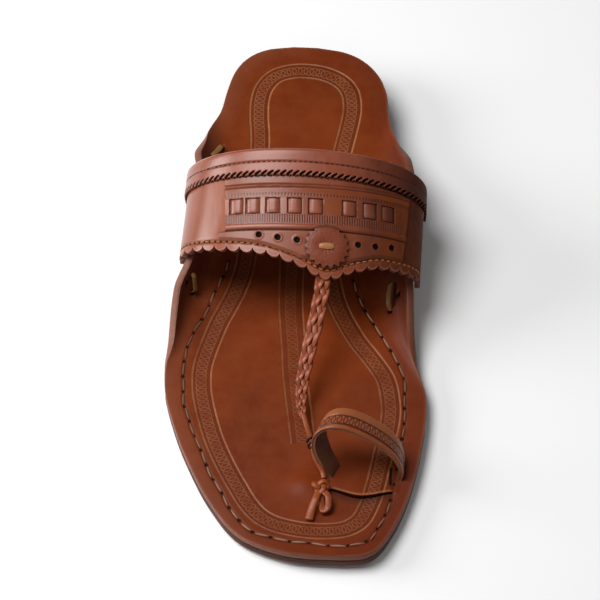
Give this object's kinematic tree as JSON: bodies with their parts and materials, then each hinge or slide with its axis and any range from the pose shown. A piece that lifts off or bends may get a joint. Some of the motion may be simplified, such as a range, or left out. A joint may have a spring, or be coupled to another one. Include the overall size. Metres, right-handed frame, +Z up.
{
  "type": "kolhapuri sandal",
  "caption": "Flat leather toe-loop sandal with a wide ornamented instep band tied to turned-up ears, a plaited spine and a stacked low heel; right shoe.",
  "frame": {"origin": "on the floor, in the middle of the shoe's length and width", "axes": "+Y from the toe to the heel, +X towards the big-toe side, +Z up"},
  "size_m": [0.1146, 0.28, 0.0686],
  "materials": {
    "top_leather": "waxed saddle-brown vegetable-tanned leather, satin, with a stamped border",
    "band_leather": "burnished reddish tan leather, soft gloss, tooled and punched",
    "sole_leather": "thick sole leather with cut, waxed edges, dull",
    "buff_lace": "undyed buff leather strip, dull"
  },
  "bodies": {
    "root": {"outsole": "sole_leather", "heel_lift_1": "sole_leather", "heel_lift_2": "sole_leather", "heel_lift_3": "sole_leather", "insole": "top_leather", "upper": "band_leather", "edge_binding": "band_leather", "ornament_panel": "band_leather", "lace_square_1": "band_leather", "lace_square_2": "band_leather", "lace_square_3": "band_leather", "lace_square_4": "band_leather", "lace_square_5": "band_leather", "lace_square_6": "band_leather", "lace_square_7": "band_leather", "lace_square_8": "band_leather", "rosette": "band_leather", "rosette_stitch": "buff_lace", "knot": "band_leather", "ear_lace_1": "buff_lace", "ear_lace_2": "buff_lace", "ear_lace_3": "buff_lace", "ear_lace_4": "buff_lace"}
  },
  "joints": []
}
